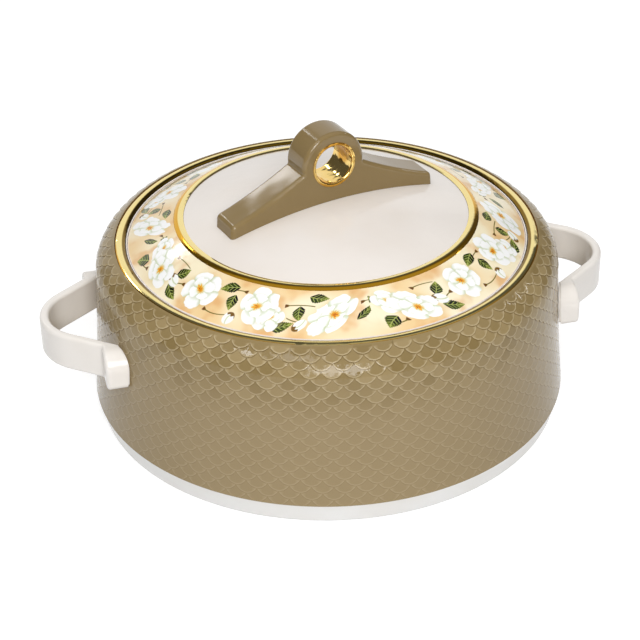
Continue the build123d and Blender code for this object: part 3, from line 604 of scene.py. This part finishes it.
# Bowl and liner -------------------------------------------------------------------------
# The bowl that holds the chapatis, and the pan that closes the lid from below. Both are
# stainless steel, spun to shape, so that fine rings run round them.
def spun_steel():
    finish = Finish("spun_steel")
    spot = finish.place()
    parts = finish.node("ShaderNodeSeparateXYZ", {}, {0: spot})
    x, y, z = parts, parts.output("Y"), parts.output("Z")
    radius = (x * x + y * y) ** 0.5
    ring_place = finish.node("ShaderNodeCombineXYZ", {}, {0: radius, 1: 0.0, 2: z})
    rings = finish.noise(ring_place, 0.22, 3.0)
    cloud = finish.noise(spot, 25.0)
    metal = finish.node("ShaderNodeBsdfPrincipled", {}, {
        "Base Color": finish.blend(cloud, paint(196, 196, 198), paint(212, 212, 213)), "Metallic": 1.0,
        "Roughness": rings * 0.14 + cloud * 0.08 + 0.17,
        "Normal": finish.bump(rings, 0.00002)})
    return finish.finished(metal)


dress(spun_steel(), "inner_bowl", "lid_liner")


# Foam -----------------------------------------------------------------------------------
# Rigid polyurethane, foamed in place between the walls of the body and inside the lid. It
# keeps the chapatis warm.
def poured_foam():
    finish = Finish("poured_foam")
    spot = finish.place()
    pores = finish.node("ShaderNodeTexVoronoi", {}, {"Vector": spot, "Scale": 1.1}, out="Distance")
    clouds = finish.noise(spot, 14.0)
    colour = finish.blend(clouds, paint(226, 204, 150), paint(238, 222, 178))
    foam = finish.node("ShaderNodeBsdfPrincipled", {}, {
        "Base Color": finish.blend(finish.ease(pores, 0.1, 0.5), paint(190, 160, 100), colour),
        "Roughness": clouds * 0.1 + 0.8, "Normal": finish.bump(pores, 0.0005)})
    return finish.finished(foam)


dress(poured_foam(), "body_insulation", "lid_insulation")


# Mouth collar and gold trim ---------------------------------------------------------------
# The collar closes the gap between shell and bowl. The ring on it, the lid's inner ring and
# the bush in the lid's handle are plastic with a polished gold-coloured metal plating.
# The flanks of these gold pieces are painted darker, as painted reflections of the dim room.
OUTER_BLEND = 0.12            # change of slope over which the crown becomes the outer flank
INNER_BLEND = 0.14            # and the inner one
PLATINGS = (
    # node, material, colours of the crown and of the outer and inner flank (the flank colours are
    # painted dark reflections), ripple, slopes
    ("mouth_ring", "mouth_plating", (240, 218, 144), (214, 160, 44), (128, 99, 26), 0.25, 0.44, -0.30),
    ("inner_ring", "lid_plating", (240, 218, 146), (220, 166, 44), (150, 118, 44), 0.25, 0.30, -0.60),
    ("handle_bush", "bush_plating", (240, 198, 106), (206, 152, 60), (206, 152, 60), 2.4, 0.80, -0.95),
)


def gold_plating(name, crown_colour, outer, inner, ripple, outer_from, inner_from):
    """Polished plating, pale on its crown. Each flank is painted a deeper colour from a slope on, as a
    painted dark reflection, where a slope is the outward part of the face's direction."""
    finish = Finish(name)
    spot = finish.place()
    cloud = finish.noise(spot, 18.0)
    waves = finish.noise(spot, 3.0, 0.0)
    scratch_place = finish.vector("MULTIPLY", spot, (1.0, 1.0, 9.0))
    scratches = finish.noise(scratch_place, 1.2, 4.0)
    outward = finish.vector("NORMALIZE", finish.vector("MULTIPLY", spot, (1.0, 1.0, 0.0)))
    facing = finish.node("ShaderNodeNewGeometry", out="Normal")
    slope = finish.vector("DOT_PRODUCT", facing, outward, out="Value")
    # masks of the painted dark reflections on the outer and the inner flank
    outer_painted_reflection = finish.ease(slope, outer_from - OUTER_BLEND, outer_from)
    inside = 1 - finish.ease(slope, inner_from, inner_from + INNER_BLEND)
    crown = finish.blend(cloud * 0.5, paint(*crown_colour), paint(247, 230, 168))
    crown_and_painted_reflection_flanks = finish.blend(inside, finish.blend(outer_painted_reflection, crown, paint(*outer)), paint(*inner))
    metal = finish.node("ShaderNodeBsdfPrincipled", {}, {
        "Base Color": crown_and_painted_reflection_flanks, "Metallic": 1.0,
        "Roughness": cloud * 0.04 + scratches * 0.05 + 0.05,
        "Normal": finish.bump(cloud * 0.5 + waves * ripple + scratches * 0.03, 0.0001)})
    return finish.finished(metal)


dress(moulded_white("collar_white", paint(236, 230, 222), 0.25), "mouth_collar")
for plated_node, *plating in PLATINGS:
    dress(gold_plating(*plating), plated_node)


# Side handles ---------------------------------------------------------------------------
# Two straps moulded in glossy off-white plastic, each bent out from the wall and back, with
# flat feet that a screw from inside holds.
dress(moulded_white("strap_white", paint(242, 237, 231), 0.18), "left_handle", "right_handle")


# Lid shell and middle disc ----------------------------------------------------------------
# Glossy off-white mouldings. The shell carries the print and the inner gold ring, and the
# disc closes its middle.
dress(moulded_white("lid_white", paint(240, 233, 226), 0.07), "lid_shell", "centre_disc")


# Print ring -----------------------------------------------------------------------------
# The lid's slope, printed with a garland of open white roses, buds and dark green leaves on
# a cream and peach ground, under a clear gloss coat.
GARLAND_REPEATS = 4
RING_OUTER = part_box("print_ring")[1].x * MILLIMETRES
RING_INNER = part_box("inner_ring")[1].x * MILLIMETRES
RING_SLOPE = 1.14             # length down the slope for each millimetre outwards
RING_MARGIN = 0.6             # unprinted edge, outside
MARGIN_BLUR = 0.5
# The motifs of one repeat, in millimetres and radians.
STALKS = (
    # place along and out, length, turn, bend
    (-52.5, -9.0, 15.0, -0.25, 0.30),
    (-71.0, 9.5, 12.0, 2.75, 0.35),
    (-33.5, 2.0, 13.0, 3.0, -0.30),
    (-13.0, 9.5, 15.0, 0.35, -0.40),
    (8.5, -9.0, 14.0, 3.25, -0.35),
    (33.5, -4.0, 17.0, -0.30, 0.25),
    (50.5, 5.5, 12.0, 2.9, 0.4),
    (76.0, -6.5, 11.0, -0.5, 0.5),
)
LEAVES = (
    # place along and out, length, width, turn
    (-81.0, 9.5, 13.5, 7.4, 2.6),
    (-80.0, -9.0, 12.0, 6.6, 0.2),
    (-40.5, 10.5, 13.0, 7.2, 0.5),
    (-39.5, -4.0, 12.0, 6.8, -0.8),
    (-3.5, -8.5, 13.5, 7.4, 2.7),
    (2.5, 0.5, 12.0, 6.8, 1.5),
    (38.0, 9.5, 13.5, 7.2, -0.4),
    (44.0, 0.5, 11.5, 6.6, 1.2),
    (50.5, -11.0, 12.5, 6.6, 0.1),
    (82.0, 0.0, 11.5, 6.2, -1.1),
)
BUDS = (
    # place along and out, size, turn
    (-44.0, 3.5, 5.2, 0.5),
    (5.5, 10.5, 4.6, 1.9),
    (47.5, 8.0, 4.8, -0.9),
)
BLOSSOMS = (
    # place along and out, size, turn, squash
    (-70.0, -4.0, 10.5, 2.9, 0.9),
    (-60.0, 2.5, 14.5, 0.4, 0.8),
    (-20.5, -0.5, 14.5, 2.3, 0.84),
    (28.5, 5.5, 9.5, 4.1, 0.95),
    (19.0, -2.0, 14.0, 1.3, 0.84),
    (63.0, 0.5, 15.0, 5.2, 0.8),
)


class Garland:
    """The printed pattern, drawn motif over motif in millimetres along and across the ring."""

    def __init__(self, finish):
        self.finish = finish
        self.spot = finish.place()
        parts = finish.node("ShaderNodeSeparateXYZ", {}, {0: self.spot})
        self.radius = self.reach(finish.vector("MULTIPLY", self.spot, (1.0, 1.0, 0.0)))
        turn = finish.sum("ARCTAN2", parts.output("Y"), parts) * (GARLAND_REPEATS / (2 * pi))
        along = (turn - turn.math("FLOOR") - 0.5) * self.radius * (2 * pi / GARLAND_REPEATS)
        out = (self.radius - (RING_OUTER + RING_INNER) / 2) * RING_SLOPE
        self.ruffle = finish.noise(self.spot, 2.4, 1.0) - 0.5
        self.sway = finish.noise(self.spot, 6.5, 1.0) - 0.5
        self.sheet = finish.node("ShaderNodeCombineXYZ", {}, {0: along, 1: out})
        frill = {0: self.ruffle * 0.10, 1: self.sway * 0.22}
        self.frill = finish.node("ShaderNodeCombineXYZ", {}, frill)
        self.colour = self.ground()

    def reach(self, vector):
        """Distance from a motif's middle."""
        return self.finish.vector("LENGTH", vector, out="Value")

    def fall(self, value, start, end):
        """1 before start and 0 after end."""
        return self.finish.ease(value, end, start)

    def split(self, vector):
        parts = self.finish.node("ShaderNodeSeparateXYZ", {}, {0: vector})
        return parts, parts.output("Y")

    def local(self, along, out, turn, length=1.0, width=1.0):
        """Where a point lies from a motif's middle, in shares of its half length and width."""
        return self.finish.node("ShaderNodeMapping", {"vector_type": "TEXTURE"}, {
            "Vector": self.sheet, "Location": (along, out, 0.0), "Rotation": (0.0, 0.0, turn),
            "Scale": (length, width, 1.0)})

    def lay(self, cover, colour):
        self.colour = self.finish.blend(cover, self.colour, colour)

    def ground(self):
        """Cream and peach, washed in like watercolour."""
        finish = self.finish
        patches = finish.noise(self.spot, 34.0, 1.0)
        blush = finish.noise(self.spot, 17.0, 2.0)
        peach = finish.ease(patches, 0.42, 0.68)
        warm = finish.blend(peach, paint(253, 241, 208), paint(243, 211, 156))
        return finish.blend(finish.ease(blush, 0.50, 0.72) * 0.8, warm, paint(228, 174, 112))

    def margin(self):
        start = RING_OUTER - RING_MARGIN
        self.lay(self.finish.ease(self.radius, start, start + MARGIN_BLUR), paint(243, 230, 222))

    def stalk(self, along, out, length, turn, bend):
        """Thin curved stalk, with a brown calyx where it starts."""
        finish = self.finish
        x, y = self.split(self.local(along, out, turn))
        off = (y - x * x * (bend / length)).math("ABSOLUTE")
        ends = finish.ease(x, 0.0, 0.6) * self.fall(x, length - 0.6, length)
        self.lay(self.fall(off, 0.22, 0.5) * ends, paint(116, 106, 42))
        cup = self.fall(off + x * x * 0.14, 1.1, 1.5) * finish.ease(x, 0.0, 0.3)
        brown = finish.blend(finish.ease(x, 1.0, 3.4), paint(108, 66, 24), paint(120, 118, 36))
        self.lay(cup, brown)

    def leaf(self, along, out, length, width, turn):
        """Pointed leaf, dark on one half, with a pale rib, side veins and a toothed edge."""
        finish = self.finish
        x, y = self.split(self.local(along, out, turn, length / 2, width / 2))
        y = y + (x * x - 0.5) * 0.2
        side = y.math("ABSOLUTE")
        slant = x * 16 - side * 9
        edge = (1 - x * x) * (1 - x * 0.45) + (slant * 1.6).math("SINE") * 0.06 - side
        cover = finish.ease(edge, 0.0, 0.12) * self.fall(x.math("ABSOLUTE"), 0.94, 1.0)
        lit_half = finish.ease(y + self.sway, -0.15, 0.15)
        shade = finish.blend(lit_half, paint(10, 16, 5), paint(46, 60, 15))
        base = finish.blend(finish.ease(x + self.ruffle, -0.2, 1.0) * 0.8, shade, paint(142, 154, 48))
        veins = finish.ease(slant.math("SINE"), 0.6, 0.98) * finish.ease(edge, 0.1, 0.5)
        pale = veins.math("MAXIMUM", self.fall(side, 0.02, 0.10)) * 0.75
        self.lay(cover, finish.blend(pale, base, paint(192, 202, 108)))

    def petals(self, reach, angle, count, notch, ruffle):
        """A whorl of petals that overlap one another: its cover, and the shade in its folds."""
        finish = self.finish
        phase = (angle * (count / (2 * pi))).math("FRACT")
        lobe = (phase * pi).math("SINE") ** 0.5
        cover = finish.ease(lobe * notch + (1 - notch) + ruffle - reach, 0.0, 0.05)
        fold = self.fall(phase, 0.0, 0.24) * finish.ease(reach, 0.1, 0.35)
        streaks = (angle * 26).math("SINE") * 0.12 + 0.16
        deep = streaks * self.fall(reach, 0.1, 0.85)
        white = finish.blend(deep, paint(255, 255, 254), paint(206, 218, 176))
        return cover, finish.blend(fold * 0.8, white, paint(194, 206, 162))

    def blossom(self, along, out, size, turn, squash):
        """Open rose: a wide ruffled whorl, a smaller one on it, and a tuft of orange stamens."""
        finish = self.finish
        place = finish.vector("ADD", self.local(along, out, turn, size, size * squash), self.frill)
        x, y = self.split(place)
        reach = self.reach(place)
        angle = finish.sum("ARCTAN2", y, x)
        self.lay(self.fall(reach, 0.75, 1.1) * 0.4, paint(206, 192, 132))
        self.lay(*self.petals(reach, angle, 5, 0.26, self.sway * 0.3))
        near = self.reach(finish.vector("MULTIPLY_ADD", place, (1.6, 1.6, 1.6), (0.0, -0.1, 0.0)))
        self.lay(self.fall(near, 0.85, 1.12) * 0.5, paint(192, 204, 160))
        self.lay(*self.petals(near, angle + 0.7, 4, 0.3, self.ruffle * 0.4))
        heart = self.reach(finish.vector("MULTIPLY_ADD", place, (1.5, 1.0, 1.0), (-0.08, -0.1, 0.0)))
        self.lay(self.fall(heart, 0.12, 0.4) * 0.8, paint(208, 216, 124))
        rays = (angle * 13).math("SINE") * 0.07 + self.ruffle * 0.12
        self.lay(self.fall(heart + rays, 0.17, 0.25), paint(242, 176, 52))
        self.lay(self.fall(heart - rays, 0.05, 0.12), paint(192, 98, 20))

    def bud(self, along, out, size, turn):
        """Half-open bud: a small white drop in a brown calyx."""
        finish = self.finish
        place = finish.vector("ADD", self.local(along, out, turn, size, size * 0.78), self.frill)
        x, y = self.split(place)
        fold = self.fall((y + x * x * 0.6 - 0.15).math("ABSOLUTE"), 0.03, 0.2)
        white = finish.blend(fold * 0.7, paint(253, 253, 248), paint(192, 204, 150))
        calyx = self.fall(x + (y * 9).math("SINE") * 0.12, -0.5, -0.36)
        drop = self.fall(self.reach(place), 0.86, 1.0)
        self.lay(drop, finish.blend(calyx, white, paint(122, 88, 34)))


def garland_print():
    finish = Finish("garland_print")
    garland = Garland(finish)
    for stalk in STALKS:
        garland.stalk(*stalk)
    for leaf in LEAVES:
        garland.leaf(*leaf)
    for bud in BUDS:
        garland.bud(*bud)
    for blossom in BLOSSOMS:
        garland.blossom(*blossom)
    garland.margin()
    gloss = finish.noise(garland.spot, 20.0)
    coat = finish.node("ShaderNodeBsdfPrincipled", {}, {
        "Base Color": garland.colour, "Roughness": gloss * 0.05 + 0.07, "IOR": 1.5,
        "Normal": finish.bump(finish.noise(garland.spot, 5.0), 0.00005)})
    return finish.finished(coat)


dress(garland_print(), "print_ring")


# Lid handle -----------------------------------------------------------------------------
# A glossy taupe moulding: a bar bent over the dome, with a ring standing on its middle.
# Two screws from inside the lid hold it.
def taupe_bar():
    finish = Finish("taupe_bar")
    spot = finish.place()
    clouds = finish.noise(spot, 22.0)
    fine = finish.noise(spot, 0.6, 1.0)
    plastic = finish.node("ShaderNodeBsdfPrincipled", {}, {
        "Base Color": finish.blend(clouds, paint(134, 113, 73), paint(142, 121, 82)),
        "Roughness": clouds * 0.04 + fine * 0.02 + 0.05, "IOR": 1.43,
        "Normal": finish.bump(finish.noise(spot, 14.0, 0.0), 0.00012)})
    return finish.finished(plastic)


dress(taupe_bar(), "lid_handle")
